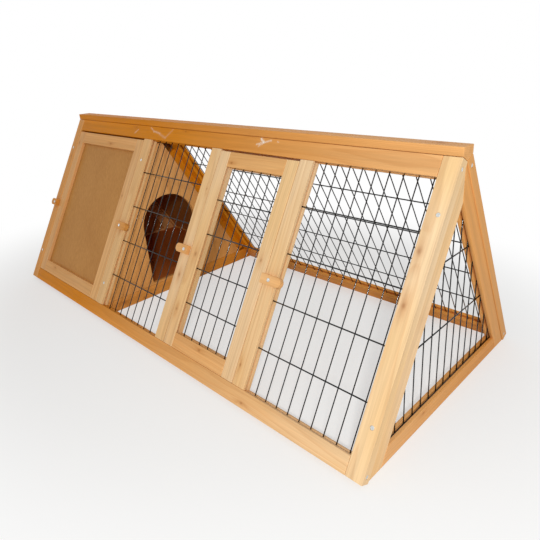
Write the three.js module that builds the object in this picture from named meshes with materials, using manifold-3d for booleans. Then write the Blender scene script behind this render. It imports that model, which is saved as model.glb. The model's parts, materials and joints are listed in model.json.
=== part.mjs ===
// Outdoor rabbit run: two leaning timber panels under a ridge beam, closed by
// triangular end frames. A solid-walled nest fills the left third behind a lift-out
// door; the wire run beside it has a second door of its own, and a divider with an
// arched hole stands between the two. Turn-buttons hold both doors shut.
//
// Millimetres, +Z up. X runs along the ridge and the front leans back from -Y.
// A leaning panel is drawn flat in (x, s, h): x along it from the left end, s up
// its slope from the lower edge, h out of its face, so the timber is h = -TIMBER to 0.
// `d` is the depth below the outer face, the same thing as -h.

import * as THREE from "three";
import { mergeVertices } from "three/addons/utils/BufferGeometryUtils.js";
import Module from "manifold-3d";

const wasm = await Module();
wasm.setup();

// Driving dimensions
const LENGTH = 1180;         // whole run, along the ridge
const SLANT = 476;           // leaning panel, lower edge to top edge
const LEAN = 60;             // degrees between a panel and the ground
const TIMBER = 18;           // thickness of every planed batten
const STILE = 30;            // width of stiles, posts and bottom rails
const TOP_RAIL = 32;         // the top rail is a little wider
const RIDGE_SIDE = 13;       // plumb side of the ridge beam
const GAP = 0.3;             // left between pieces that touch

const NEST_POST = 372;       // left edges of the three front posts
const BACK_POST_SHIFT = 21;  // the back nest post stands this much further right
const DOOR_POST_LEFT = 638;
const DOOR_POST_RIGHT = 888;

const DOOR_SIDE_GAP = 1.5;   // daylight beside a door
const DOOR_TOP_GAP = 4;      // room to lift and tip a door
const DOOR_RAIL = 31;

const WIRE = 2;              // upright wires of the welded mesh
const CROSS_WIRE = 2.4;      // cross wires, welded on the outer side
const WELD = 0.25;           // how far two welded wires sink into each other
const WIRE_PITCH = 25.4;     // one inch between uprights
const WIRE_START = { left: 24.5, right: 21.6, back: 18.4, door: 20.5 };
const CROSS_START = 77;      // lowest cross wire above the rail
const CROSS_PITCH = 85.5;
const DOOR_CROSS_START = 63;
const DOOR_CROSS_PITCH = 72;
const WIRE_MARGIN = 4;       // least room between a wire and a timber beside it
const END_CROSS_LOW = 150;   // heights of the end mesh's cross wires
const END_CROSS_PITCH = 116;
const WIRE_BITE = 5;         // length of a wire's end inside a groove
const GROOVE_DEPTH = 6;

const PLY = 5;               // thickness of the boards held in grooves
const PLY_SETBACK = 8;       // from the timber's face to the board's face

const END_INSET = 2;         // the end frames stand in from the panels' ends
const DIVIDER_FACE = NEST_POST + STILE;
const DIVIDER_THICK = 10;
const HOLE_HALF = 76;        // arched hole in the divider
const HOLE_SILL = 36;
const HOLE_SPRING = 178;     // height at which the arch starts
const HOLE_OFFSET = -17;     // the hole stands a little towards the front

const FLOOR_BASE = 18.3;
const BEARER_BASE = 4;
const FLOOR_THICK = 6;
const FLOOR_JOINT = 12;
const STOP_THICK = 12;       // battens behind the doors' edges
const STOP_LAP = 8;          // how far a stop reaches behind a door
const STOP_FOOT = 40;        // battens on the inner faces start clear of the floor
const DIVIDER_BATTEN_FOOT = 47;
const BATTEN_HEAD_ROOM = 27; // and stop short of the opposite panel's battens
const DIVIDER_TIP = 7;       // half-width of the divider's cut-off top

const BUTTON_HEIGHT = 225;   // up the slope
const BUTTON_WIDTH = 18;
const BUTTON_THICK = 9;
const BUTTON_REACH = 28;     // long arm, from the screw
const BUTTON_INSET = 20;     // its screw, from the left edge of the post it is on

// Worked out from the above
const SIN = Math.sin(THREE.MathUtils.degToRad(LEAN));
const COS = Math.cos(THREE.MathUtils.degToRad(LEAN));
const TAN = SIN / COS;
const HALF_BASE = SLANT * COS + TIMBER * SIN;
const OUTER_FOOT = TIMBER * COS;          // height of a panel's outer lower edge
const PANEL_TOP = SLANT - GAP;            // keeps the two panels apart at the ridge
const RAIL_TOP_EDGE = SLANT - TOP_RAIL;   // lower edge of the top rail
const RIGHT_STILE = LENGTH - STILE;
const MESH_THICK = WIRE + CROSS_WIRE - WELD;
const DOOR_FOOT = STILE + GAP;
const DOOR_TOP = RAIL_TOP_EDGE - DOOR_TOP_GAP;
const BATTEN = TIMBER + GAP;              // depth of whatever lies on a panel's inner face

// Materials, seen through plain colours
function material(hex, roughness, metalness = 0) {
  return new THREE.MeshStandardMaterial({ color: new THREE.Color(hex), roughness, metalness });
}

const MATERIALS = {
  pale: material("#e3bd92", 0.62),
  amber: material("#d0955c", 0.58),
  ply: material("#b88450", 0.66),
  wire: material("#1f2022", 0.42, 0.5),
  screw: material("#d4d5d2", 0.32, 0.9),
};

// The leaning planes, seen from the end: where the front plane at depth d is found
function planeHeight(d, y) {
  return OUTER_FOOT + (HALF_BASE - Math.abs(y) - d * SIN) * TAN - d * COS;
}

function planeHalfWidth(d, z) {
  return HALF_BASE - d * SIN - (z - OUTER_FOOT + d * COS) / TAN;
}

// How far up the slope a batten of depth d can run before it meets its opposite
function battenTop(d) {
  return (HALF_BASE - d * SIN) / COS - BATTEN_HEAD_ROOM;
}

// Solids
function solid(geometry) {
  const bare = geometry.clone();
  bare.deleteAttribute("normal");
  bare.deleteAttribute("uv");
  const welded = mergeVertices(bare, 1e-4);
  return new wasm.Manifold(new wasm.Mesh({
    numProp: 3,
    vertProperties: new Float32Array(welded.attributes.position.array),
    triVerts: new Uint32Array(welded.index.array),
  }));
}

function geometryOf(body) {
  const mesh = body.getMesh();
  const geometry = new THREE.BufferGeometry();
  geometry.setAttribute("position", new THREE.BufferAttribute(mesh.vertProperties, 3));
  geometry.setIndex(new THREE.BufferAttribute(mesh.triVerts, 1));
  return geometry;
}

function carve(geometry, tools) {
  let body = solid(geometry);
  for (const tool of tools) {
    body = body.subtract(solid(tool));
  }
  return geometryOf(body);
}

function weldTogether(geometries) {
  let body = solid(geometries[0]);
  for (const geometry of geometries.slice(1)) {
    body = body.add(solid(geometry));
  }
  return geometryOf(body);
}

// A box given by its two ends on each axis
function box(x, y, z) {
  const geometry = new THREE.BoxGeometry(x[1] - x[0], y[1] - y[0], z[1] - z[0]);
  return geometry.translate((x[0] + x[1]) / 2, (y[0] + y[1]) / 2, (z[0] + z[1]) / 2);
}

// An outline in (y, z), run along X between two places measured from the left end
function acrossPrism(outline, x, holes = []) {
  const shape = new THREE.Shape(outline.map(([y, z]) => new THREE.Vector2(y, z)));
  shape.holes = holes;
  const depth = x[1] - x[0];
  const geometry = new THREE.ExtrudeGeometry(shape, { depth, bevelEnabled: false, curveSegments: 9 });
  const basis = new THREE.Matrix4().makeBasis(
    new THREE.Vector3(0, 1, 0),
    new THREE.Vector3(0, 0, 1),
    new THREE.Vector3(1, 0, 0),
  );
  return geometry.applyMatrix4(basis).translate(x[0] - LENGTH / 2, 0, 0);
}

// Stands flat (x, s, h) work in its leaning plane. The back is the front turned
// half round, so its own x runs from the right end.
function lean(geometry, side = "front") {
  const upright = new THREE.Matrix4().makeBasis(
    new THREE.Vector3(1, 0, 0),
    new THREE.Vector3(0, COS, SIN),
    new THREE.Vector3(0, -SIN, COS),
  );
  upright.setPosition(-LENGTH / 2, -HALF_BASE, OUTER_FOOT);
  geometry.applyMatrix4(upright);
  if (side === "back") {
    geometry.rotateZ(Math.PI);
  }
  return geometry;
}

// The same stretch of x as the back panel counts it
function fromRight(x) {
  return [LENGTH - x[1], LENGTH - x[0]];
}

const group = new THREE.Group();
group.name = "outdoor_rabbit_run";

function add(name, geometry, kind) {
  const flat = geometry.index ? geometry.toNonIndexed() : geometry;
  flat.deleteAttribute("uv");
  flat.computeVertexNormals();
  const mesh = new THREE.Mesh(flat, MATERIALS[kind].clone());
  mesh.name = name;
  group.add(mesh);
}

// Screws: a countersunk head and a plain shank, drawn pointing down -Z from z = 0
function screwBody(length, slack = 0) {
  const head = 3.4 + slack;
  const shank = 1.5 + slack;
  const profile = [
    [0, slack],
    [head, slack],
    [head, -0.6],
    [shank, -2.6 - slack],
    [shank, -length - slack],
    [0, -length - slack],
  ];
  const points = profile.reverse().map(([r, z]) => new THREE.Vector2(r, z));
  return new THREE.LatheGeometry(points, 8).rotateX(Math.PI / 2);
}

// Six screws show on the front: through the end stiles into the end frames' legs,
// and through the nest post into the divider's batten
const FACE_SCREW = 32;
const FACE_SCREW_PLACES = {
  left: END_INSET + TIMBER / 2,
  nest: NEST_POST + 13,
  right: LENGTH - END_INSET - TIMBER / 2,
};
const FACE_SCREW_HEIGHTS = { lower: 80, upper: SLANT - 85 };

function faceScrew(x, s, slack = 0) {
  return screwBody(FACE_SCREW, slack).translate(x, s, slack ? 0 : -0.1);
}

function faceScrewHoles() {
  return Object.values(FACE_SCREW_PLACES).flatMap((x) => (
    Object.values(FACE_SCREW_HEIGHTS).map((s) => faceScrew(x, s, GAP))
  ));
}

// Welded mesh: uprights with cross wires laid on their outer side, in flat (a, b, c)
// with c outward and c = 0 in the middle of the mesh's thickness
const UPRIGHT_C = -(MESH_THICK - WIRE) / 2;
const CROSS_C = (MESH_THICK - CROSS_WIRE) / 2;

function wireAlong(thick, from, to) {
  const radius = thick / 2 / Math.cos(Math.PI / 6);
  const rod = new THREE.CylinderGeometry(radius, radius, to - from, 6, 1, false, Math.PI / 6);
  return rod.translate(0, (from + to) / 2, 0);
}

function uprightWire(a, from, to) {
  return wireAlong(WIRE, from, to).translate(a, 0, UPRIGHT_C);
}

function crossWire(b, from, to) {
  return wireAlong(CROSS_WIRE, from, to).rotateZ(-Math.PI / 2).translate(0, b, CROSS_C);
}

// Places from first on, a pitch apart, as many as fit before the far timber
function spaced(first, pitch, far) {
  const count = 1 + Math.floor((far - WIRE_MARGIN - first) / pitch);
  return Array.from({ length: count }, (_, i) => first + i * pitch);
}

function meshOver(opening, uprights, crosses) {
  const [a0, a1, b0, b1] = opening;
  return weldTogether([
    ...uprights.map((a) => uprightWire(a, b0 - WIRE_BITE, b1 + WIRE_BITE)),
    ...crosses.map((b) => crossWire(b, a0 - WIRE_BITE, a1 + WIRE_BITE)),
  ]);
}

// A slab that cuts the groove for a mesh or board into the timbers round an opening
function grooveSlab(opening, middle, thick) {
  const [a0, a1, b0, b1] = opening;
  return box(
    [a0 - GROOVE_DEPTH, a1 + GROOVE_DEPTH],
    [b0 - GROOVE_DEPTH, b1 + GROOVE_DEPTH],
    [middle - thick / 2 - GAP, middle + thick / 2 + GAP],
  );
}

function boardIn(opening, middle) {
  const [a0, a1, b0, b1] = opening;
  return box(
    [a0 - WIRE_BITE, a1 + WIRE_BITE],
    [b0 - WIRE_BITE, b1 + WIRE_BITE],
    [middle - PLY / 2, middle + PLY / 2],
  );
}

const FRAME_MESH_C = -TIMBER / 2;
const DOOR_MESH_C = -5;
const BOARD_C = -PLY_SETBACK - PLY / 2;

// Openings in the panels, as [x from, x to, s from, s to]
const LEFT_BAY = [DIVIDER_FACE, DOOR_POST_LEFT, STILE, RAIL_TOP_EDGE];
const RIGHT_BAY = [DOOR_POST_RIGHT + STILE, RIGHT_STILE, STILE, RAIL_TOP_EDGE];
const BACK_POST = [NEST_POST + BACK_POST_SHIFT, DIVIDER_FACE + BACK_POST_SHIFT];
const BACK_BAY = [...fromRight([BACK_POST[1], RIGHT_STILE]), STILE, RAIL_TOP_EDGE];
const BACK_NEST_BAY = [...fromRight([STILE, BACK_POST[0]]), STILE, RAIL_TOP_EDGE];

// Turn-buttons: [name, screw's x, edge of the door beside it, long arm]
const BUTTONS = [
  ["nest_button_left", 19.5, STILE + DOOR_SIDE_GAP, 19],
  ["nest_button_right", NEST_POST + BUTTON_INSET, NEST_POST - DOOR_SIDE_GAP, BUTTON_REACH],
  ["run_button_left", DOOR_POST_LEFT + BUTTON_INSET, DOOR_POST_LEFT + STILE + DOOR_SIDE_GAP, BUTTON_REACH],
  ["run_button_right", DOOR_POST_RIGHT + BUTTON_INSET, DOOR_POST_RIGHT - DOOR_SIDE_GAP, BUTTON_REACH],
];
const BUTTON_SCREW = 24;

function buttonScrew(x, slack = 0) {
  const lift = GAP + BUTTON_THICK + 2.1;
  return screwBody(BUTTON_SCREW, slack).translate(x, BUTTON_HEIGHT, lift);
}

function panelMembers(side, members, tools) {
  for (const [name, x, s] of members) {
    const own = side === "back" ? fromRight(x) : x;
    const timber = carve(box(own, s, [-TIMBER, 0]), tools);
    add(`${side}_${name}`, lean(timber, side), name === "top_rail" ? "amber" : "pale");
  }
}

function leaningPanels() {
  const full = [0, PANEL_TOP];
  const between = [STILE + GAP, RAIL_TOP_EDGE - GAP];
  const rails = [STILE + GAP, RIGHT_STILE - GAP];
  const shared = [
    ["left_stile", [0, STILE], full],
    ["right_stile", [RIGHT_STILE, LENGTH], full],
    ["top_rail", rails, [RAIL_TOP_EDGE, PANEL_TOP]],
    ["bottom_rail", rails, [0, STILE]],
  ];
  const frontPosts = [
    ["nest_post", [NEST_POST, DIVIDER_FACE], between],
    ["door_post_left", [DOOR_POST_LEFT, DOOR_POST_LEFT + STILE], between],
    ["door_post_right", [DOOR_POST_RIGHT, DOOR_POST_RIGHT + STILE], between],
  ];
  panelMembers("front", [...shared, ...frontPosts], [
    grooveSlab(LEFT_BAY, FRAME_MESH_C, MESH_THICK),
    grooveSlab(RIGHT_BAY, FRAME_MESH_C, MESH_THICK),
    ...BUTTONS.map(([, x]) => buttonScrew(x, GAP)),
    ...faceScrewHoles(),
  ]);
  panelMembers("back", [...shared, ["nest_post", BACK_POST, between]], [
    grooveSlab(BACK_BAY, FRAME_MESH_C, MESH_THICK),
    grooveSlab(BACK_NEST_BAY, BOARD_C, PLY),
  ]);
}

function panelFillings() {
  const crosses = spaced(STILE + CROSS_START, CROSS_PITCH, RAIL_TOP_EDGE);
  const uprights = (bay, start) => spaced(bay[0] + start, WIRE_PITCH, bay[1]);
  const leftWires = uprights(LEFT_BAY, WIRE_START.left);
  const rightWires = uprights(RIGHT_BAY, WIRE_START.right);
  const backWires = uprights(BACK_BAY, WIRE_START.back);
  const place = (mesh) => mesh.translate(0, 0, FRAME_MESH_C);
  add("front_left_mesh", lean(place(meshOver(LEFT_BAY, leftWires, crosses))), "wire");
  add("front_right_mesh", lean(place(meshOver(RIGHT_BAY, rightWires, crosses))), "wire");
  add("back_mesh", lean(place(meshOver(BACK_BAY, backWires, crosses)), "back"), "wire");
  add("back_nest_panel", lean(boardIn(BACK_NEST_BAY, BOARD_C), "back"), "ply");
}

// A door stands in its opening on the bottom rail, flush with the panel's face
function door(name, posts, filling) {
  const x = [posts[0] + DOOR_SIDE_GAP, posts[1] - DOOR_SIDE_GAP];
  const inner = [x[0] + STILE, x[1] - STILE];
  const s = [DOOR_FOOT, DOOR_TOP];
  const opening = [...inner, s[0] + DOOR_RAIL, s[1] - DOOR_RAIL];
  const groove = filling === "board"
    ? grooveSlab(opening, BOARD_C, PLY)
    : grooveSlab(opening, DOOR_MESH_C, MESH_THICK);
  const rails = [inner[0] + GAP, inner[1] - GAP];
  const pieces = [
    ["left_stile", [x[0], inner[0]], s],
    ["right_stile", [inner[1], x[1]], s],
    ["bottom_rail", rails, [s[0], opening[2]]],
    ["top_rail", rails, [opening[3], s[1]]],
  ];
  for (const [piece, px, ps] of pieces) {
    const timber = carve(box(px, ps, [-TIMBER, 0]), [groove]);
    add(`${name}_${piece}`, lean(timber), "pale");
  }
  if (filling === "board") {
    add(`${name}_panel`, lean(boardIn(opening, BOARD_C)), "ply");
    return;
  }
  const uprights = spaced(opening[0] + WIRE_START.door, WIRE_PITCH, opening[1]);
  const crosses = spaced(opening[2] + DOOR_CROSS_START, DOOR_CROSS_PITCH, opening[3]);
  add(`${name}_mesh`, lean(meshOver(opening, uprights, crosses).translate(0, 0, DOOR_MESH_C)), "wire");
}

// Battens on the inner face that stop the doors falling through
function doorStops() {
  const s = [STOP_FOOT, battenTop(BATTEN + STOP_THICK)];
  const h = [-BATTEN - STOP_THICK, -BATTEN];
  const nestEdge = STILE + DOOR_SIDE_GAP;
  const runEdges = [DOOR_POST_LEFT + STILE + DOOR_SIDE_GAP, DOOR_POST_RIGHT - DOOR_SIDE_GAP];
  const endFrameBack = END_INSET + TIMBER + GAP;
  add("nest_door_stop", lean(box([endFrameBack, nestEdge + STOP_LAP], s, h)), "amber");
  const leftX = [runEdges[0] - STOP_LAP, runEdges[0] + STOP_LAP];
  const rightX = [runEdges[1] - STOP_LAP, runEdges[1] + STOP_LAP];
  add("run_door_stop_left", lean(box(leftX, s, h)), "amber");
  add("run_door_stop_right", lean(box(rightX, s, h)), "amber");
}

// Triangular end frames: two legs mitred under the ridge, a rail between their feet
const LEG_INNER = BATTEN + STILE;

function endFrame(side, filling) {
  const inset = side === "right" ? LENGTH - END_INSET - TIMBER : END_INSET;
  const x = [inset, inset + TIMBER];
  const middle = inset + TIMBER / 2;
  const thick = filling === "board" ? PLY : MESH_THICK;
  const deep = LEG_INNER - GROOVE_DEPTH - 1;
  const groove = acrossPrism([
    [-planeHalfWidth(deep, STILE - GROOVE_DEPTH), STILE - GROOVE_DEPTH],
    [planeHalfWidth(deep, STILE - GROOVE_DEPTH), STILE - GROOVE_DEPTH],
    [0, planeHeight(deep, 0)],
  ], [middle - thick / 2 - GAP, middle + thick / 2 + GAP]);
  const screwHoles = faceScrewHoles().map((hole) => lean(hole));

  for (const face of ["front", "back"]) {
    const turn = face === "front" ? -1 : 1;
    const outline = [
      [turn * planeHalfWidth(BATTEN, 0), 0],
      [turn * planeHalfWidth(LEG_INNER, 0), 0],
      [turn * GAP / 2, planeHeight(LEG_INNER, GAP / 2)],
      [turn * GAP / 2, planeHeight(BATTEN, GAP / 2)],
    ];
    const ordered = face === "front" ? outline : outline.reverse();
    const tools = face === "front" ? [groove, ...screwHoles] : [groove];
    add(`${side}_end_${face}_leg`, carve(acrossPrism(ordered, x), tools), "pale");
  }

  const foot = planeHalfWidth(LEG_INNER + GAP, 0);
  const head = planeHalfWidth(LEG_INNER + GAP, STILE);
  const rail = [[-foot, 0], [foot, 0], [head, STILE], [-head, STILE]];
  add(`${side}_end_bottom_rail`, carve(acrossPrism(rail, x), [groove]), "pale");

  const edge = LEG_INNER - WIRE_BITE;
  const base = STILE - WIRE_BITE;
  if (filling === "board") {
    const board = [
      [-planeHalfWidth(edge, base), base],
      [planeHalfWidth(edge, base), base],
      [0, planeHeight(edge, 0)],
    ];
    add(`${side}_end_panel`, acrossPrism(board, [middle - PLY / 2, middle + PLY / 2]), "ply");
    return;
  }
  // The lowest cross wire lies in the rail's groove and ties in the short uprights
  const crosses = [base + CROSS_WIRE, END_CROSS_LOW, END_CROSS_LOW + END_CROSS_PITCH];
  const reach = planeHalfWidth(edge, base);
  const half = spaced(WIRE_PITCH, WIRE_PITCH, reach - WIRE_MARGIN);
  const uprights = [...half.map((y) => -y), 0, ...half];
  const wires = [
    ...uprights.map((y) => uprightWire(y, base, planeHeight(edge, y))),
    ...crosses.map((z) => crossWire(z, -planeHalfWidth(edge, z), planeHalfWidth(edge, z))),
  ];
  const stand = new THREE.Matrix4().makeBasis(
    new THREE.Vector3(0, 1, 0),
    new THREE.Vector3(0, 0, 1),
    new THREE.Vector3(1, 0, 0),
  );
  const mesh = weldTogether(wires).applyMatrix4(stand).translate(middle - LENGTH / 2, 0, 0);
  add(`${side}_end_mesh`, mesh, "wire");
}

// Divider: a board with an arched hole on a bottom rail. Its front edge is fixed to a
// batten on the nest side. Its back edge butts the back batten, flush with its side.
function divider() {
  const backEdge = BATTEN + TIMBER + GAP;
  const narrowing = (backEdge - BATTEN) / SIN;
  const top = planeHeight(BATTEN, DIVIDER_TIP + narrowing / 2);
  const foot = STILE + GAP;
  const outline = [
    [-planeHalfWidth(BATTEN, foot), foot],
    [planeHalfWidth(backEdge, foot), foot],
    [planeHalfWidth(backEdge, top), top],
    [-planeHalfWidth(BATTEN, top), top],
  ];
  const hole = new THREE.Path();
  hole.moveTo(HOLE_OFFSET + HOLE_HALF, HOLE_SILL);
  hole.lineTo(HOLE_OFFSET + HOLE_HALF, HOLE_SPRING);
  hole.absarc(HOLE_OFFSET, HOLE_SPRING, HOLE_HALF, 0, Math.PI, false);
  hole.lineTo(HOLE_OFFSET - HOLE_HALF, HOLE_SILL);
  hole.closePath();
  const board = [DIVIDER_FACE - DIVIDER_THICK, DIVIDER_FACE];
  add("divider_panel", acrossPrism(outline, board, [hole]), "pale");

  const railFoot = planeHalfWidth(BATTEN, 0);
  const railHead = planeHalfWidth(BATTEN, STILE);
  const rail = [[-railFoot, 0], [railFoot, 0], [railHead, STILE], [-railHead, STILE]];
  add("divider_bottom_rail", acrossPrism(rail, [DIVIDER_FACE - TIMBER, DIVIDER_FACE]), "amber");

  const battens = {
    front: [NEST_POST - DOOR_SIDE_GAP - STOP_LAP, DIVIDER_FACE - DIVIDER_THICK - GAP],
    back: fromRight([DIVIDER_FACE - STILE, DIVIDER_FACE]),
  };
  for (const [side, x] of Object.entries(battens)) {
    const s = [DIVIDER_BATTEN_FOOT, battenTop(BATTEN + TIMBER)];
    const timber = box(x, s, [-BATTEN - TIMBER, -BATTEN]);
    const tools = side === "front" ? faceScrewHoles() : [];
    add(`divider_${side}_batten`, lean(carve(timber, tools), side), "amber");
  }
}

// Nest floor: two boards that meet along X, resting on a bearer at each end
function nestFloor() {
  const left = END_INSET + TIMBER + GAP;
  const right = DIVIDER_FACE - TIMBER - GAP;
  const edge = planeHalfWidth(BATTEN + GAP, FLOOR_BASE + FLOOR_THICK);
  const x = [left - LENGTH / 2, right - LENGTH / 2];
  const z = [FLOOR_BASE, FLOOR_BASE + FLOOR_THICK];
  add("nest_floor_front", box(x, [-edge, FLOOR_JOINT - GAP], z), "ply");
  add("nest_floor_back", box(x, [FLOOR_JOINT + GAP, edge], z), "ply");
  const half = edge - STILE;
  const bearer = (from) => box([from, from + TIMBER], [-half, half], [BEARER_BASE, FLOOR_BASE - GAP]);
  add("floor_bearer_left", bearer(x[0]), "amber");
  add("floor_bearer_right", bearer(x[1] - TIMBER), "amber");
}

// Ridge beam: seated in the V of the panels' square-cut top edges
function ridgeBeam() {
  const clear = GAP / SIN;
  const valley = SLANT * SIN + clear;
  const shoulder = valley + TIMBER * COS;
  const half = TIMBER * SIN;
  const outline = [
    [0, valley],
    [half, shoulder],
    [half, shoulder + RIDGE_SIDE],
    [-half, shoulder + RIDGE_SIDE],
    [-half, shoulder],
  ];
  add("ridge_beam", acrossPrism(outline, [0, LENGTH]), "amber");
}

// A turn-button: square at the short arm by the door, round at the long one
function turnButtons() {
  const round = BUTTON_WIDTH / 2;
  for (const [name, x, doorEdge, reach] of BUTTONS) {
    const short = Math.abs(doorEdge - x) - DOOR_SIDE_GAP;
    const outline = new THREE.Shape();
    outline.moveTo(short, -round);
    outline.lineTo(short, round);
    outline.lineTo(round - reach, round);
    outline.absarc(round - reach, 0, round, Math.PI / 2, Math.PI * 1.5, false);
    outline.closePath();
    const hole = new THREE.Path();
    hole.absarc(0, 0, 2.4, 0, Math.PI * 2, true);
    outline.holes.push(hole);
    const depth = BUTTON_THICK;
    const body = new THREE.ExtrudeGeometry(outline, { depth, bevelEnabled: false, curveSegments: 8 });
    if (doorEdge < x) {
      body.rotateZ(Math.PI);
    }
    add(name, lean(body.translate(x, BUTTON_HEIGHT, GAP)), "amber");
    add(`${name}_screw`, lean(buttonScrew(x)), "screw");
  }
}

function frameScrews() {
  for (const [place, x] of Object.entries(FACE_SCREW_PLACES)) {
    for (const [height, s] of Object.entries(FACE_SCREW_HEIGHTS)) {
      add(`${place}_${height}_frame_screw`, lean(faceScrew(x, s)), "screw");
    }
  }
}

ridgeBeam();
leaningPanels();
panelFillings();
door("nest_door", [STILE, NEST_POST], "board");
door("run_door", [DOOR_POST_LEFT + STILE, DOOR_POST_RIGHT], "mesh");
doorStops();
endFrame("right", "mesh");
endFrame("left", "board");
divider();
nestFloor();
turnButtons();
frameScrews();

export default group;
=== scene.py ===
# %% [markdown]
# # Outdoor rabbit run
# A pine A-frame with a boarded nest at one end and a welded-wire run beside it.
# The CAD model already holds every piece at its real size. This script gives each
# one its finish: eased arrises and grain on the timbers, round coated wires, plain
# zinc screws, and then a camera, soft light and a floor.

import json
import math

import bmesh
import bpy
import numpy as np
from mathutils import Euler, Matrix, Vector


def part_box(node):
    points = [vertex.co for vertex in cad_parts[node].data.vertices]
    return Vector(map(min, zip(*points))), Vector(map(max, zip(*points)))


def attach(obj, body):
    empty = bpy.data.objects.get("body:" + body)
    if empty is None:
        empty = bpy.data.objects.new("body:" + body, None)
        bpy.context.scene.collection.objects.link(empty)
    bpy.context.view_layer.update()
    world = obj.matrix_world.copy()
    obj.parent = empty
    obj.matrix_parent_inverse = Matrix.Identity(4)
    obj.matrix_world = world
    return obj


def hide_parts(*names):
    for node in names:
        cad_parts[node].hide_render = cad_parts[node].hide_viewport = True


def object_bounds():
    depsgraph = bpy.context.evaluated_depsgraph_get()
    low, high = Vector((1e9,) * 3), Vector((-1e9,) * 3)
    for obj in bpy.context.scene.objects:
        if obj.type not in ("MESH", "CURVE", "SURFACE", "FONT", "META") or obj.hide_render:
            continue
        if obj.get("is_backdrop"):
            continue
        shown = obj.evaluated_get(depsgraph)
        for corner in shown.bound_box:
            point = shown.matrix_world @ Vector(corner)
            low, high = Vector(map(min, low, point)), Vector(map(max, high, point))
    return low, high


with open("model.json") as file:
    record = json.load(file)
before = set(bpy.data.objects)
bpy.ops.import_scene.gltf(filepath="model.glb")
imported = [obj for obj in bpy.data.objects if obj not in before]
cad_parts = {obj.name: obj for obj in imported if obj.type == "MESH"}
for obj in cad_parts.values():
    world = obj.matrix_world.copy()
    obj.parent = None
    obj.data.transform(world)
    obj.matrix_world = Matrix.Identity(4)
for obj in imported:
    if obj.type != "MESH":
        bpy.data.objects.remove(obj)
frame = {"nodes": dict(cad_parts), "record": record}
CAD_LOW, CAD_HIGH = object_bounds()
BODY_OF = {
    node: body
    for body, members in frame["record"]["behaviour"]["bodies"].items()
    for node in members
}

# %% [markdown]
# ## The leaning planes
# Both long sides lean at 60 degrees. Working on a tilted board is easier when it is
# laid flat first, so every place on a panel is given as (x, s, h): x along the run
# from the left end, s up the slope, h out of the outer face. One small matrix stands
# the flat place up, and its transpose lays a CAD node flat to be measured.

# %% Planes as matrices
MM = 0.001
LEAN = math.radians(60)
TIMBER = 18 * MM
STILE = 30 * MM
LENGTH = CAD_HIGH.x - CAD_LOW.x
HALF_BASE = CAD_HIGH.y
OUTER_FOOT = TIMBER * math.cos(LEAN)


def panel_axes(side):
    """The x, s and h directions of a leaning panel, one to a row, and its corner.

    s climbs at the lean, h is square to it, and the back is the front with y
    turned round while x still runs from the left end.
    """
    turn = -1 if side == "back" else 1
    rise, run = math.sin(LEAN), math.cos(LEAN)
    axes = np.array([[1, 0, 0], [0, turn * run, rise], [0, -turn * rise, run]])
    corner = np.array([-LENGTH / 2, -turn * HALF_BASE, OUTER_FOOT])
    return axes, corner


def stand(points, side="front"):
    """Flat (x, s, h) places stood up: the corner, plus each share times its axis."""
    axes, corner = panel_axes(side)
    return np.asarray(points, float) @ axes + corner


print("slope", round(math.degrees(LEAN)), "degrees, half base", round(HALF_BASE / MM, 1), "mm")

# %% [markdown]
# ## Colours and nodes
# Colours are written as a screen shows them and turned to linear light once. One
# helper adds a shader node, its settings and its links, so that a material below
# reads as a recipe: the pattern first, and the shader that wears it last.


# %% Helpers for materials
def linear(code):
    """An sRGB hex colour as linear light.

    A channel under 0.04045 is divided by 12.92. Any other has 0.055 added, is
    divided by 1.055 and is raised to the power of 2.4.
    """
    srgb = np.array([int(code[i : i + 2], 16) for i in (1, 3, 5)]) / 255
    light = np.where(srgb <= 0.04045, srgb / 12.92, ((srgb + 0.055) / 1.055) ** 2.4)
    return (*light.tolist(), 1.0)


def add(tree, kind, inputs=(), **settings):
    """Adds one node with its settings and whatever goes into it.

    Inputs come in order, or in a dict by name or number. Each is a value to set, or
    the socket or node to link from. A node stands for its first working output.
    """
    node = tree.nodes.new("ShaderNode" + kind)
    for key, value in settings.items():
        setattr(node, key, value)
    for key, value in inputs.items() if isinstance(inputs, dict) else enumerate(inputs):
        if isinstance(value, bpy.types.Node):
            value = next(socket for socket in value.outputs if socket.enabled)
        if isinstance(value, bpy.types.NodeSocket):
            tree.links.new(value, node.inputs[key])
        else:
            node.inputs[key].default_value = value
    return node


def new_material(name):
    """A material with an empty node tree."""
    material = bpy.data.materials.new(name)
    material.use_nodes = True
    material.node_tree.nodes.clear()
    return material, material.node_tree


print("mid grey is", round(linear("#808080")[0], 3), "in linear light")

# %% [markdown]
# ## Unevenness
# Nothing on the run is perfectly even. Three small patterns serve every material:
# soft noise stretched to a real size, the same noise swung about nought, and a bell
# that fades with distance. Noise scales are in cycles a metre, so 100 is 10 mm.

# %% Helpers for patterns
ONE_OVER_E = 0.3679


def noise_on(tree, vector, scales, detail=2.0):
    """Soft noise with its own scale along, across and into the piece."""
    stretched = add(tree, "VectorMath", (vector, scales), operation="MULTIPLY")
    return add(tree, "TexNoise", {"Vector": stretched, "Scale": 1.0, "Detail": detail})


def around_zero(tree, value, size):
    """Noise, which runs from 0 to 1, as a swing of that size: noise less a half, times size."""
    centred = add(tree, "Math", (value, 0.5), operation="SUBTRACT")
    return add(tree, "Math", (centred, size), operation="MULTIPLY")


def falling(tree, distance, reach):
    """A bump that is 1 at no distance and falls off as a bell: e to minus the square."""
    share = add(tree, "Math", (distance, reach), operation="DIVIDE")
    square = add(tree, "Math", (share, share), operation="MULTIPLY")
    return add(tree, "Math", (ONE_OVER_E, square), operation="POWER")


print("a bell is down to", round(ONE_OVER_E**4, 3), "at twice its reach")

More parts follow.
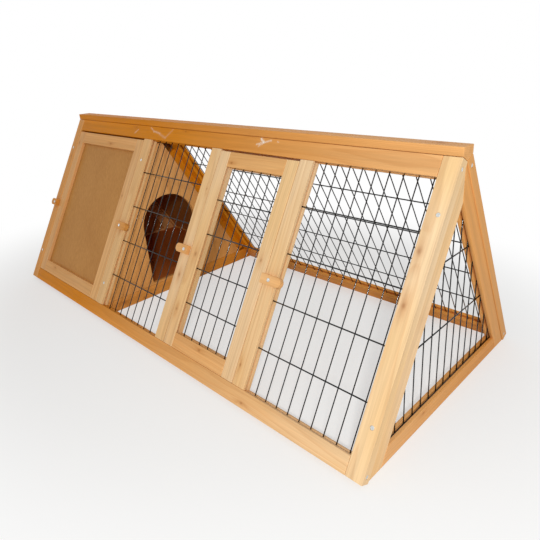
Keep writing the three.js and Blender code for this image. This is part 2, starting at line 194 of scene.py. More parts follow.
# %% [markdown]
# ## Planed pine
# Softwood battens show their growth rings: pale wide spring wood, then a thin darker
# line of summer wood. A board is cut from a round trunk, so the rings are circles
# round a centre beside the board, stretched along the grain. Each timber carries its
# own grain place as an attribute (along, across, deep), measured from the heart of
# the tree, so the lines run along every batten whichever way it lies and end grain
# shows arcs. Newer outer wood is paler, in long soft patches. Where a branch grew,
# the lines flow round a knot. A knot's place and radius come as an attribute too, and
# so does a tone: how deep the honey stain has taken, and on the ridge and the front
# rails also painted shade that deepens towards the left end. Planing leaves the wood
# matt, with a slight sheen that the fibres break up.

# %% Pine colours and sizes
PALE = "#f0cb95"
# HONEY is the stain's colour. Deeper tones mix towards it, and at the left end of the ridge and
# front rails that deepening is painted shade.
HONEY = "#d88511"
SAPWOOD = "#f4dcb9"
SUMMER = "#b4640f"
KNOT = "#8a4a1a"
RING = 2.9 * MM  # one year's growth in quick-grown pine

RING_DRIFT = (2.2, 20, 20)  # the rings wander over 450 mm along and 50 mm across
SAP_PATCH = (3.2, 9, 9)  # pale patches 300 mm long and 110 mm wide
STREAK = (1.3, 85, 85)  # streaks of stain 770 mm long and 12 mm wide
FIBRE = (16, 560, 560)  # fibres 60 mm long and 1.8 mm wide, drawn coarse so they show
KNOT_FRAY = (160, 260, 0)  # a knot's rim is ragged over 4 to 6 mm

DRIFT_SIZE = 5.0 * RING
KNOT_BEND = 0.6 * RING
FRAY_SIZE = 0.7  # knot radii
CORE_SQUEEZE, CORE_REACH = 0.75, 1.0  # the dark middle, in knot radii
BEND_SQUEEZE, BEND_REACH = 0.3, 2.2  # the lines that flow round it
NO_KNOT = 1e-5  # least radius, so that a knot of none divides by something
SUMMER_POWER = 2.6  # how late in the year the line darkens
WINTER = 0.9  # share of the year at which the line breaks off
SAP_FROM, SAP_TO, SAP_MOST = 0.42, 0.62, 0.55
SUMMER_STAIN, LINE_MOST, HALO_MOST, CORE_MOST = 0.6, 0.42, 0.3, 0.5
STREAK_SIZE, FIBRE_SIZE = 0.5, 0.3
SHEEN_FROM, SHEEN_TO = 0.4, 0.56  # roughness of the smoothest and the roughest fibre
print("rings", round(RING / MM, 1), "mm apart, bent", round(KNOT_BEND / MM, 2), "mm by a knot")


# %% Rings, knots and stain
def knot_distance(tree, grain, attribute, squeeze):
    """Distance from a knot in knot radii, measured on the wood's face.

    The attribute holds (along, across, radius). The distance along the grain is
    squeezed, so that the knot's reach is longer that way, and noise roughens it.
    """
    spot = add(tree, "Attribute", attribute_name=attribute).outputs["Vector"]
    away = add(tree, "VectorMath", (grain, spot), operation="SUBTRACT")
    flat = add(tree, "VectorMath", (away, (squeeze, 1, 0)), operation="MULTIPLY")
    length = add(tree, "VectorMath", (flat,), operation="LENGTH")
    radius = add(tree, "SeparateXYZ", (spot,)).outputs["Z"]
    rough = around_zero(tree, noise_on(tree, grain, KNOT_FRAY), FRAY_SIZE)
    least = add(tree, "Math", (radius, NO_KNOT), operation="MAXIMUM")
    share = add(tree, "Math", (length, least), operation="DIVIDE")
    return add(tree, "Math", (share, rough), operation="ADD")


def near_a_knot(tree, grain, squeeze, reach):
    """The larger of the bells round a timber's two knots."""
    bells = [
        falling(tree, knot_distance(tree, grain, attribute, squeeze), reach)
        for attribute in ("knot_a", "knot_b")
    ]
    return add(tree, "Math", bells, operation="MAXIMUM")


def summer_lines(tree, grain, knotty):
    """A dark line late in each year, from 0 to 1.

    The year is the fraction left over when the distance from the heart, bent by slow
    noise and by knots, is divided by a ring. The line is that fraction to a power,
    and it breaks off at the winter end.
    """
    split = add(tree, "SeparateXYZ", (grain,)).outputs
    squares = [add(tree, "Math", (split[i], split[i]), operation="MULTIPLY") for i in (1, 2)]
    square = add(tree, "Math", squares, operation="ADD")
    radius = add(tree, "Math", (square,), operation="SQRT")
    drift = around_zero(tree, noise_on(tree, grain, RING_DRIFT), DRIFT_SIZE)
    bend = add(tree, "Math", (knotty, KNOT_BEND), operation="MULTIPLY")
    wandered = add(tree, "Math", (radius, drift), operation="ADD")
    bent = add(tree, "Math", (wandered, bend), operation="ADD")
    years = add(tree, "Math", (bent, RING), operation="DIVIDE")
    year = add(tree, "Math", (years,), operation="FRACT")
    summer = add(tree, "Math", (year, SUMMER_POWER), operation="POWER")
    winter = add(tree, "MapRange", (year, WINTER, 1.0, 1.0, 0.0))
    return add(tree, "Math", (summer, winter), operation="MULTIPLY")


def stained_and_shaded_wood(tree, grain, tone):
    """Pale wood with sapwood patches, which the honey stain covers as far as the tone says;
    where the tone holds painted shade, this deeper honey is painted shade.
    """
    patch = add(tree, "MapRange", (noise_on(tree, grain, SAP_PATCH), SAP_FROM, SAP_TO))
    unstained = add(tree, "Math", (1.0, tone), operation="SUBTRACT")
    showing = add(tree, "Math", (patch, unstained), operation="MULTIPLY")
    sap = add(tree, "Math", (showing, SAP_MOST), operation="MULTIPLY")
    pale = add(tree, "Mix", {0: sap, 6: linear(PALE), 7: linear(SAPWOOD)}, data_type="RGBA")
    return add(tree, "Mix", {0: tone, 6: pale, 7: linear(HONEY)}, data_type="RGBA")


print("a knot bends the lines out to", BEND_REACH, "of its radii")

# %% [markdown]
# ## Scuffs
# Handling has scuffed the top rail in two places: each scuff is a few frayed strokes
# where the stained skin is crushed pale. The strokes are given on the front panel's
# face, and the material measures how far each point of the wood is from them.

# %% Strokes of a scuff
CRUSHED = "#f6ecdd"
SCUFF_FRAY = (420, 420, 420)  # crushed fibres end every 2.4 mm
FRAY_PER_WIDTH = 4.2
# From (x, s) to (x, s), then the width, all in millimetres, and the strength
SCUFFS = (
    (321, 455, 333, 464.5, 1.5, 0.4),
    (387, 472, 404.5, 464, 1.6, 0.32),
    (404.5, 464, 431, 460.5, 1.8, 0.36),
    (431, 459, 458, 451, 2.6, 0.17),
    (458, 452, 480, 473, 2.4, 0.15),
    (767, 461, 803, 471, 1.6, 0.5),
    (776, 472, 784, 466, 2.4, 0.85),
    (773, 457.5, 786, 467, 1.6, 0.36),
    (820, 470.2, 822.5, 469.4, 1.2, 0.5),
)


def scuff(tree, place, start, end, width):
    """A bell across one stroke: e to minus the square of the distance over the width.

    The distance is to the nearest point of the line from start to end, which is the
    start plus a share of the span, the share kept between 0 and 1. Noise frays it.
    """
    span = end - start
    beyond = add(tree, "VectorMath", (place, start), operation="SUBTRACT")
    share = add(tree, "VectorMath", (beyond, span / (span @ span)), operation="DOT_PRODUCT")
    kept = add(tree, "Clamp", (share,))
    nearest = add(tree, "VectorMath", {0: span, "Scale": kept}, operation="SCALE")
    away = add(tree, "VectorMath", (beyond, nearest), operation="SUBTRACT")
    distance = add(tree, "VectorMath", (away,), operation="LENGTH")
    noise = noise_on(tree, place, SCUFF_FRAY, 3.0)
    frayed = around_zero(tree, noise, FRAY_PER_WIDTH * width)
    return falling(tree, add(tree, "Math", (distance, frayed), operation="ADD"), width)


def scuffed(tree, colour, strokes):
    """The colour with every stroke laid over it in turn."""
    place = add(tree, "TexCoord").outputs["Object"]
    for x0, s0, x1, s1, width, strength in strokes:
        start, end = stand(np.array([[x0, s0, 0], [x1, s1, 0]]) * MM)
        mark = scuff(tree, place, start, end, width * MM)
        share = add(tree, "Math", (mark, strength), operation="MULTIPLY")
        colour = add(tree, "Mix", {0: share, 6: colour, 7: linear(CRUSHED)}, data_type="RGBA")
    return colour


print(len(SCUFFS), "strokes on the top rail")


# %% Pine material
def make_pine(name, strokes=()):
    """Stained wood with painted shade where its tone holds it, darker along its summer lines,
    with fibres, knots and any scuffs.
    """
    material, tree = new_material(name)
    grain = add(tree, "Attribute", attribute_name="grain").outputs["Vector"]
    tone = add(tree, "Attribute", attribute_name="tone").outputs["Fac"]
    core = near_a_knot(tree, grain, CORE_SQUEEZE, CORE_REACH)
    knotty = near_a_knot(tree, grain, BEND_SQUEEZE, BEND_REACH)
    line = summer_lines(tree, grain, knotty)

    base = stained_and_shaded_wood(tree, grain, tone)
    dark = {0: SUMMER_STAIN, 6: base, 7: linear(SUMMER)}
    deeper = add(tree, "Mix", dark, data_type="RGBA")
    ring = add(tree, "Math", (line, LINE_MOST), operation="MULTIPLY")
    ringed = add(tree, "Mix", {0: ring, 6: base, 7: deeper}, data_type="RGBA")

    streak = around_zero(tree, noise_on(tree, grain, STREAK, 3.0), STREAK_SIZE)
    fibre = around_zero(tree, noise_on(tree, grain, FIBRE), FIBRE_SIZE)
    swing = add(tree, "Math", (streak, fibre), operation="ADD")
    level = add(tree, "Math", (1.0, swing), operation="ADD")
    grey = add(tree, "CombineColor", (level, level, level))
    shaded = {0: 1.0, 6: ringed, 7: grey}
    colour = add(tree, "Mix", shaded, data_type="RGBA", blend_type="MULTIPLY")
    for bell, most, stain in ((knotty, HALO_MOST, SUMMER), (core, CORE_MOST, KNOT)):
        share = add(tree, "Math", (bell, most), operation="MULTIPLY")
        colour = add(tree, "Mix", {0: share, 6: colour, 7: linear(stain)}, data_type="RGBA")
    if strokes:
        colour = scuffed(tree, colour, strokes)

    sheen = add(tree, "MapRange", (fibre, -0.1, 0.1, SHEEN_FROM, SHEEN_TO))
    raised = add(tree, "Math", (fibre, 1.2), operation="MULTIPLY")
    relief = add(tree, "Math", (raised, line), operation="ADD")
    bump = add(tree, "Bump", {"Strength": 0.16, "Distance": 0.25 * MM, "Height": relief})
    finish = {
        "Base Color": colour,
        "Roughness": sheen,
        "Normal": bump,
        "IOR": 1.5,
        "Specular IOR Level": 0.09,
    }
    add(tree, "OutputMaterial", {"Surface": add(tree, "BsdfPrincipled", finish)})
    return material


PINE = make_pine("planed_pine_stain_and_shade")
SCUFFED = make_pine("planed_pine_scuffed", SCUFFS)
print("pine:", len(PINE.node_tree.nodes), "nodes, scuffed:", len(SCUFFED.node_tree.nodes))

# %% [markdown]
# ## Exterior plywood
# The nest door's board is thin plywood. Its face is veneer peeled off a turning log,
# so there are no straight rings, only short flecks where the knife cut the fibres and
# broad cloudy bands. The flecks run a little aslant to the board's edges. Inside the
# nest the boards are a redder brown, as their tone says: partly more stain, and partly
# painted warm light bounced round the inside of the nest.

# %% Plywood material
VENEER = "#d39a52"
VENEER_DARK = "#a66a2a"
VENEER_RED = "#c8692c"
FLECK_ASLANT = math.radians(24)
CLOUD = (7, 12, 12)  # bands 140 mm long and 80 mm wide
FLECK = (95, 520, 520)  # flecks 10 mm long and 2 mm wide
PORE = (300, 1600, 1600)  # pores 3 mm long and 0.6 mm wide
CLOUD_SIZE, FLECK_SIZE, PORE_SIZE = 0.55, 1.1, 0.35
RED_MOST = 0.95


def make_plywood():
    """Two veneer browns mixed by the sum of cloudy, flecked and pored noise."""
    material, tree = new_material("exterior_plywood_veneer")
    grain = add(tree, "Attribute", attribute_name="grain").outputs["Vector"]
    tone = add(tree, "Attribute", attribute_name="tone").outputs["Fac"]
    turned = add(tree, "Mapping", {"Vector": grain, "Rotation": (0, 0, FLECK_ASLANT)})
    cloud = around_zero(tree, noise_on(tree, turned, CLOUD, 3.0), CLOUD_SIZE)
    fleck = noise_on(tree, turned, FLECK, 2.5)
    pore = around_zero(tree, noise_on(tree, turned, PORE, 1.0), PORE_SIZE)
    flecked = around_zero(tree, fleck, FLECK_SIZE)
    mixed = add(tree, "Math", (cloud, flecked), operation="ADD")
    pored = add(tree, "Math", (mixed, pore), operation="ADD")
    share = add(tree, "MapRange", (pored, -0.6, 0.6))
    browns = {0: share, 6: linear(VENEER), 7: linear(VENEER_DARK)}
    veneer = add(tree, "Mix", browns, data_type="RGBA")
    # The red share is partly stain and partly painted warm light bounced round inside the nest.
    red = add(tree, "Math", (tone, RED_MOST), operation="MULTIPLY")
    colour = add(tree, "Mix", {0: red, 6: veneer, 7: linear(VENEER_RED)}, data_type="RGBA")
    bump = add(tree, "Bump", {"Strength": 0.12, "Distance": 0.2 * MM, "Height": fleck})
    finish = {
        "Base Color": colour,
        "Normal": bump,
        "Roughness": 0.56,
        "Specular IOR Level": 0.2,
    }
    add(tree, "OutputMaterial", {"Surface": add(tree, "BsdfPrincipled", finish)})
    return material


PLYWOOD = make_plywood()
print("plywood:", len(PLYWOOD.node_tree.nodes), "nodes")

# %% [markdown]
# ## Coated wire and zinc
# The mesh is steel wire, welded and then dipped in black plastic, which leaves a
# smooth, fairly glossy skin that catches the light in thin white lines. The screws
# are steel with bright zinc plating, a slightly grainy metal. Both are a fine noise
# on the piece's own place that moves the colour and the roughness together.

# %% Wire and screw materials
DIP = (180, 180, 180)  # unevenness of the dipped skin, over 6 mm
PLATING = (900, 900, 900)  # grain of the plating, drawn at 1 mm so that it shows


def make_mottled(name, scales, colours, roughness, constants):
    """Two colours mixed by noise, which also runs the roughness from one end to the other."""
    material, tree = new_material(name)
    place = add(tree, "TexCoord").outputs["Object"]
    noise = noise_on(tree, place, scales)
    first, second = colours
    skin = add(tree, "Mix", {0: noise, 6: linear(first), 7: linear(second)}, data_type="RGBA")
    rough = add(tree, "MapRange", (noise, 0.2, 0.8, *roughness))
    finish = {"Base Color": skin, "Roughness": rough, **constants}
    add(tree, "OutputMaterial", {"Surface": add(tree, "BsdfPrincipled", finish)})
    return material


COATING = make_mottled(
    "black_dipped_coating",
    DIP,
    ("#060707", "#101212"),
    (0.09, 0.16),
    {"IOR": 1.5, "Specular IOR Level": 0.36},
)
ZINC = make_mottled(
    "bright_zinc_plating", PLATING, ("#e3e4e1", "#c2c4c2"), (0.28, 0.46), {"Metallic": 0.85}
)
print(COATING.name, "and", ZINC.name)

# %% [markdown]
# ## Timbers
# A planed batten's corners are never knife sharp: the mill eases them, and that thin
# round edge is what catches the light. The CAD solid has the right shape, grooves and
# screw holes, so each timber here is a merged copy of its node with its long outer
# edges bevelled. A Bevel modifier would round the grooves and the holes as well.

# %% Copying and easing a timber
EASE = 1.1 * MM
LEAST_EDGE = 9 * MM  # shorter edges belong to screw holes and rounded ends
SHARP = math.radians(35)
SAME_PLACE = 0.002 * MM
SAME_PLANE = math.radians(0.6)


def merged_copy(node):
    """The node's triangles with doubles joined and flat neighbours made one face."""
    work = bmesh.new()
    work.from_mesh(frame["nodes"][node].data)
    bmesh.ops.remove_doubles(work, verts=work.verts, dist=SAME_PLACE)
    bmesh.ops.dissolve_limit(work, angle_limit=SAME_PLANE, verts=work.verts, edges=work.edges)
    return work


def ease(work, width):
    """Bevels every long outward corner."""
    edges = [
        edge
        for edge in work.edges
        if edge.is_manifold
        and edge.is_convex
        and edge.calc_length() > LEAST_EDGE
        and edge.calc_face_angle() > SHARP
    ]
    bmesh.ops.bevel(
        work,
        geom=edges,
        offset=width,
        offset_type="OFFSET",
        segments=2,
        profile=0.5,
        affect="EDGES",
        clamp_overlap=True,
    )


def new_object(name, data):
    """An object in the scene, at the origin and unturned."""
    piece = bpy.data.objects.new(name, data)
    bpy.context.scene.collection.objects.link(piece)
    return piece


print("edges eased", round(EASE / MM, 1), "mm")

# %% [markdown]
# ## Grain, stain and painted shade
# A timber's grain place is each vertex along the three grain axes, from the piece's
# middle, moved to a heart of the tree picked at random. A tone, from pale to deep,
# runs evenly from one end of the piece to the other; on the ridge and the front rails
# its deepening towards the left end is painted shade. Both go into the mesh as
# attributes, together with two knots, and the materials above read them there.

# %% Writing the grain
random = np.random.default_rng(7)
HEART = (34 * MM, 62 * MM)  # nearest and farthest heart of the tree from a timber
HEART_TURN = 0.6  # radians either side of straight behind the face
TRUNK = 9  # metres of trunk that a timber may come from
CHANCE_ALONG, CHANCE_ACROSS = 0.9, 9  # share of the half length, and millimetres
CHANCE_RADIUS = 2.2 * MM
KNOTTY_HALF = 60 * MM  # a timber with a shorter half length has no chance knot


def points_of(mesh):
    """All vertex places as one array."""
    flat = np.zeros(len(mesh.vertices) * 3)
    mesh.vertices.foreach_get("co", flat)
    return flat.reshape(-1, 3)


def write_attribute(mesh, name, kind, values):
    """One value for every vertex; a single value is repeated over the whole piece."""
    size = 3 if kind == "FLOAT_VECTOR" else 1
    spread = np.broadcast_to(np.asarray(values, np.float32), (len(mesh.vertices), size))
    field = "vector" if size == 3 else "value"
    mesh.attributes.new(name, kind, "POINT").data.foreach_set(field, spread.ravel())


def set_grain(mesh, axes, tone, knots):
    """Writes the grain place, the tone and two knots.

    The grain place is the vertex times the axes, less the middle, plus the heart. The
    tone is its first value plus a share of the rise, by how far along the vertex lies.
    A knot is (along, across, radius) from the piece's middle, in metres.
    """
    places = points_of(mesh) @ np.asarray(axes, float).T
    places -= (places.min(0) + places.max(0)) / 2
    angle = random.uniform(-HEART_TURN, HEART_TURN)
    reach = random.uniform(*HEART)
    along = random.uniform(0, TRUNK)
    heart = np.array([along, reach * math.sin(angle), reach * math.cos(angle)])
    half = np.abs(places[:, 0]).max()
    chance = [
        random.uniform(-CHANCE_ALONG, CHANCE_ALONG) * half,
        random.uniform(-CHANCE_ACROSS, CHANCE_ACROSS) * MM,
        CHANCE_RADIUS if half >= KNOTTY_HALF else 0.0,
    ]
    write_attribute(mesh, "grain", "FLOAT_VECTOR", places + heart)
    # On the ridge and the front rails the change of tone along the piece is painted shade,
    # deepest at the left end.
    share = (places[:, :1] + half) / (2 * half)
    write_attribute(mesh, "tone", "FLOAT", tone[0] + (tone[1] - tone[0]) * share)
    for name, knot in zip(("knot_a", "knot_b"), (*knots, chance, chance)):
        spot = np.array([heart[0] + knot[0], heart[1] + knot[1], knot[2]])
        write_attribute(mesh, name, "FLOAT_VECTOR", spot)


print("hearts", [round(reach / MM) for reach in HEART], "mm from a timber's middle")

# %% [markdown]
# ## Where the screws go
# The end frames are screwed through the stiles' ends, and the back panel through its
# stiles and post, as on the front. Those heads lie in shallow pockets in the timber.
# The list is worked out first, because the timbers are cut for it.

# %% Places of the screws in the ends and the back
END_HEIGHTS = (12 * MM, 461 * MM)
FACE_HEIGHTS = (80 * MM, 391 * MM)
FACE_INSET = 11 * MM
X, Y, Z = np.eye(3)
BACK_OUT = panel_axes("back")[0][2]


def flat_box(node, side="front"):
    """Lowest and highest (x, s, h) of a panel's node, laid flat."""
    axes, corner = panel_axes(side)
    flat = (points_of(frame["nodes"][node].data) - corner) @ axes.T
    return flat.min(0), flat.max(0)


POCKETS = {}
for side in ("front", "back"):
    for end, x, out in (("left", 0.0, -X), ("right", LENGTH, X)):
        ends = stand([[x, s, -TIMBER / 2] for s in END_HEIGHTS], side)
        POCKETS[f"{side}_{end}_stile"] = [(ends, out)]
POST_LOW, POST_HIGH = flat_box("back_nest_post", "back")
BACK_X = {
    "back_left_stile": FACE_INSET,
    "back_nest_post": (POST_LOW[0] + POST_HIGH[0]) / 2,
    "back_right_stile": LENGTH - FACE_INSET,
}
for node, x in BACK_X.items():
    faces = stand([[x, s, 0.0] for s in FACE_HEIGHTS], "back")
    POCKETS.setdefault(node, []).append((faces, BACK_OUT))
print("pockets in", len(POCKETS), "timbers")

# %% [markdown]
# ## Rings of points
# Pockets, wires and screw heads are all round, so they are made alike: rings of
# points, with a strip of four-cornered faces between each ring and the next.

# %% Helpers for round pieces
NEARLY_X = 0.9  # a line that points along x more than this takes y as its helper


def circles(line, sides):
    """A circle of radius 1 square to each line of length 1.

    Cosine of the turn times one direction square to the line, plus sine of the turn
    times the other. The directions are cross products with a helper and the line.
    """
    first = np.cross(line, np.where(np.abs(line[..., :1]) < NEARLY_X, X, Y))
    first /= np.linalg.norm(first, axis=-1, keepdims=True)
    second = np.cross(line, first)
    turn = np.linspace(0, 2 * np.pi, sides, endpoint=False)[:, None]
    return np.cos(turn) * first[..., None, :] + np.sin(turn) * second[..., None, :]


def ring_quads(rings, sides):
    """Corner numbers of the faces between rings that follow one another."""
    row = np.arange(rings - 1)[:, None] * sides
    step = np.arange(sides)
    following = (step + 1) % sides
    corners = (row + step, row + following, row + sides + following, row + sides + step)
    return np.stack(corners, -1).reshape(-1, 4)


def new_mesh(name, vertices, faces, smooth=False):
    """A mesh out of arrays. Smooth is one answer for all the faces, or one for each."""
    mesh = bpy.data.meshes.new(name)
    mesh.from_pydata(np.asarray(vertices).tolist(), [], faces)
    mesh.polygons.foreach_set("use_smooth", np.full(len(faces), smooth))
    mesh.update()
    return mesh


print("a strip of 3 rings of 8 has", len(ring_quads(3, 8)), "faces")

# %% [markdown]
# ## Cutting the pockets
# A pocket is a shallow round hole. The cutter is a set of short cylinders, one to a
# screw, and an exact boolean takes them out of the timber, so the mesh stays closed.

# %% Cutter and cut
POCKET_RADIUS = 3.7 * MM
POCKET_DEPTH = 1.1 * MM
POCKET_SIDES = 32
CUTTER_PROUD = 2 * MM  # how far the cutter stands out of the face


def pocket_cutter(places, out):
    """Short cylinders that each sink one screw head: place, plus depth, plus circle."""
    circle = POCKET_RADIUS * circles(out, POCKET_SIDES)
    depths = np.array([-POCKET_DEPTH, CUTTER_PROUD])[:, None, None] * out
    rings = places[:, None, None] + (circle + depths)[None]
    sides = ring_quads(2, POCKET_SIDES)
    step = np.arange(POCKET_SIDES)
    faces = []
    for start in np.arange(len(places)) * 2 * POCKET_SIDES:
        faces += (sides + start).tolist()
        faces += [(step[::-1] + start).tolist(), (step + POCKET_SIDES + start).tolist()]
    return new_mesh("pocket_cutter", rings.reshape(-1, 3), faces)


def sink_pockets(mesh, cutter):
    """The mesh less its cutter, so that a screw head can lie below the face."""
    whole, tool = new_object("whole", mesh), new_object("tool", cutter)
    cut = whole.modifiers.new("pockets", "BOOLEAN")
    cut.operation, cut.solver, cut.object = "DIFFERENCE", "EXACT", tool
    graph = bpy.context.evaluated_depsgraph_get()
    result = bpy.data.meshes.new_from_object(whole.evaluated_get(graph), depsgraph=graph)
    result.name = mesh.name + "_pocketed"
    for leftover in (whole, tool):
        data = leftover.data
        bpy.data.objects.remove(leftover)
        bpy.data.meshes.remove(data)
    return result


print("pockets", round(POCKET_DEPTH / MM, 1), "mm deep")

# %% [markdown]
# ## Dressing a timber
# A finished piece takes its CAD node's place: it rides on the same body and hides the node, so
# the joints move it as they move the solid.


# %% Putting a finished piece in place of its CAD node
def join_body(piece, node, material):
    """Gives a piece its material, and its node's body and place in the scene."""
    piece.data.materials.append(material)
    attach(piece, BODY_OF[node])
    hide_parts(node)


def dress_timber(node, axes, tone, knots=(), material=PINE, width=EASE):
    """A timber with eased arrises and its pockets, grained along the first of its axes."""
    work = merged_copy(node)
    if width:
        ease(work, width)
    bmesh.ops.recalc_face_normals(work, faces=work.faces)
    mesh = bpy.data.meshes.new(node + "_timber")
    work.to_mesh(mesh)
    work.free()
    for places, out in POCKETS.get(node, ()):
        mesh = sink_pockets(mesh, pocket_cutter(places, out))
    set_grain(mesh, axes, tone, knots)
    join_body(new_object(node + "_timber", mesh), node, material)


print(len(BODY_OF), "nodes wait for their finish")

# %% [markdown]
# ## Which way each timber's grain runs
# Stiles, posts and battens are grained up the slope, rails and the ridge along the
# run, and the end rails from front to back. The tone follows the real run's stain: the
# uprights were left pale, the long rails and inner battens took more of the stain,
# and the nest door is the brownest. On the ridge and the front rails the tone also
# deepens from the right end to the left, which is painted shade of the end farthest
# from the lamp.

# %% The list of timbers
FRONT_AXES, _ = panel_axes("front")
BACK_AXES, _ = panel_axes("back")
UP_FRONT = (FRONT_AXES[1], FRONT_AXES[0], FRONT_AXES[2])
UP_BACK = (BACK_AXES[1], BACK_AXES[0], BACK_AXES[2])
ALONG_FRONT = tuple(FRONT_AXES)
ALONG_BACK = tuple(BACK_AXES)
ACROSS_RUN = (Y, Z, X)
UPRIGHT = (Z, Y, X)

TIMBERS = {
    # The ridge and the front rails start deeper at the left end: painted shade of the end
    # farthest from the lamp.
    "ridge_beam": ((X, Y, Z), (1.2, 0.55)),
    "front_left_stile": (UP_FRONT, (0.75, 0.7)),
    "front_nest_post": (UP_FRONT, (0.2, 0.3)),
    "front_door_post_left": (UP_FRONT, (0.2, 0.14)),
    "front_door_post_right": (UP_FRONT, (0.22, 0.08)),
    "front_right_stile": (UP_FRONT, (0.08, 0.02)),
    "front_top_rail": (ALONG_FRONT, (1.35, 0.5)),
    "front_bottom_rail": (ALONG_FRONT, (1.25, 0.2)),
    "back_left_stile": (UP_BACK, (0.6, 0.6)),
    "back_right_stile": (UP_BACK, (0.62, 0.6)),
    "back_nest_post": (UP_BACK, (1.0, 1.0)),
    "back_top_rail": (ALONG_BACK, (0.8, 0.8)),
    "back_bottom_rail": (ALONG_BACK, (0.8, 0.8)),
    "nest_door_left_stile": (UP_FRONT, (0.5, 0.55)),
    "nest_door_right_stile": (UP_FRONT, (0.42, 0.42)),
    "nest_door_top_rail": (ALONG_FRONT, (0.6, 0.55)),
    "nest_door_bottom_rail": (ALONG_FRONT, (0.55, 0.5)),
    "run_door_left_stile": (UP_FRONT, (0.25, 0.12)),
    "run_door_right_stile": (UP_FRONT, (0.18, 0.04)),
    "run_door_top_rail": (ALONG_FRONT, (0.5, 0.45)),
    "run_door_bottom_rail": (ALONG_FRONT, (0.6, 0.5)),
    "nest_door_stop": (UP_FRONT, (0.7, 0.7)),
    "run_door_stop_left": (UP_FRONT, (0.7, 0.7)),
    "run_door_stop_right": (UP_FRONT, (0.7, 0.7)),
    "right_end_front_leg": (UP_FRONT, (0.16, 0.1)),
    "right_end_back_leg": (UP_BACK, (0.62, 0.66)),
    "right_end_bottom_rail": (ACROSS_RUN, (0.5, 0.8)),
    "left_end_front_leg": (UP_FRONT, (0.55, 0.55)),
    "left_end_back_leg": (UP_BACK, (0.6, 0.6)),
    "left_end_bottom_rail": (ACROSS_RUN, (0.5, 0.5)),
    "divider_panel": (UPRIGHT, (0.72, 0.55)),
    "divider_bottom_rail": (ACROSS_RUN, (0.75, 0.95)),
    "divider_front_batten": (UP_FRONT, (0.8, 0.8)),
    "divider_back_batten": (UP_BACK, (1.0, 1.0)),
    "floor_bearer_left": (ACROSS_RUN, (0.6, 0.6)),
    "floor_bearer_right": (ACROSS_RUN, (0.6, 0.6)),
    "nest_button_left": (ALONG_FRONT, (0.7, 0.85)),
    "nest_button_right": (ALONG_FRONT, (0.55, 0.8)),
    "run_button_left": (ALONG_FRONT, (0.5, 0.58)),
    "run_button_right": (ALONG_FRONT, (0.4, 0.5)),
}
SCUFFED_RAIL = "front_top_rail"
# Knots that show: (along, across, radius) from the piece's middle, in millimetres
KNOTS = {
    "front_right_stile": [(98, -7, 4.0), (18, -5, 3.4)],
    "run_door_left_stile": [(-12, 3, 3.4), (-130, -4, 2.4)],
    "front_door_post_left": [(-66, 3, 3.2), (120, 8, 1.6)],
    "ridge_beam": [(-348, 0, 4.2), (545, 3, 5.0)],
    "front_top_rail": [(-268, 10, 1.8), (-60, 12, 1.6)],
    "divider_bottom_rail": [(-180, 0, 5.0)],
}
for node, (axes, tone) in TIMBERS.items():
    knots = [tuple(value * MM for value in knot) for knot in KNOTS.get(node, ())]
    dress_timber(node, axes, tone, knots, SCUFFED if node == SCUFFED_RAIL else PINE)

# The inside boards' full tone makes them red: partly stain, partly painted bounce light inside
# the nest.
BOARDS = {
    "back_nest_panel": (UP_BACK, (0.36, 0.36)),
    "nest_door_panel": (UP_FRONT, (0.0, 0.0)),
    "left_end_panel": (UPRIGHT, (0.45, 0.45)),
    "nest_floor_front": ((X, Y, Z), (1.0, 1.0)),
    "nest_floor_back": ((X, Y, Z), (1.0, 1.0)),
}
for node, (axes, tone) in BOARDS.items():
    dress_timber(node, axes, tone, material=PLYWOOD, width=0)
print(len(TIMBERS), "pine pieces and", len(BOARDS), "boards")

# %% [markdown]
# ## Welded mesh
# Each wire is a straight round rod with a dipped, slightly rounded end. All the
# uprights lie in one plane and the cross wires lie on their outer side, sunk a
# quarter of a millimetre where they are welded. Curves with a round bevel would do,
# but a rod is only a circle carried along a line, so a whole mesh is one array.

# %% Rods as arrays
WIRE = 2.0 * MM
CROSS_WIRE = 2.4 * MM
WELD = 0.25 * MM
MESH_THICK = WIRE + CROSS_WIRE - WELD
ROD_SIDES = 10
END_ROUND = 0.35  # share of the radius over which a rod's end rounds off


def rods(starts, ends, thick):
    """Vertices and faces of straight rods from each start to its end.

    Four rings a rod: a small one at the tip, a full one just behind it, and the
    same at the far end. A ring is start plus a share of the line, plus a circle.
    """
    line = ends - starts
    length = np.linalg.norm(line, axis=1, keepdims=True)
    unit = line / length
    radius = thick / 2
    tip = END_ROUND * radius
    along = np.stack([0 * length, 0 * length + tip, length - tip, length], 1)
    size = radius * np.array([1 - END_ROUND, 1, 1, 1 - END_ROUND])
    centres = starts[:, None] + along * unit[:, None]
    around = circles(unit, ROD_SIDES)[:, None]
    vertices = centres[:, :, None] + size[None, :, None, None] * around
    ring = np.arange(ROD_SIDES)
    first = np.arange(len(starts))[:, None] * 4 * ROD_SIDES
    faces = (ring_quads(4, ROD_SIDES) + first[:, None]).reshape(-1, 4).tolist()
    near = (ring[::-1] + first).tolist()
    far = (ring + 3 * ROD_SIDES + first).tolist()
    return vertices.reshape(-1, 3), faces + near + far


def mesh_piece(node, upright, crossing):
    """One object out of the upright rods and the cross rods."""
    places = np.concatenate([upright[0], crossing[0]])
    count = len(upright[0])
    faces = upright[1] + [[index + count for index in face] for face in crossing[1]]
    round_sides = [len(face) == 4 for face in faces]
    mesh = new_mesh(node + "_wires", places, faces, round_sides)
    join_body(new_object(node + "_wires", mesh), node, COATING)


print("a mesh is", round(MESH_THICK / MM, 2), "mm thick")

# %% [markdown]
# ## Spacing the wires
# A mesh is laid in an opening and reaches a little way into the grooves round it. The
# first wire's place is given, and the rest follow a pitch apart until the far side.
# The uprights are an inch apart, and the cross wires are wider apart in the frame
# than in the door.

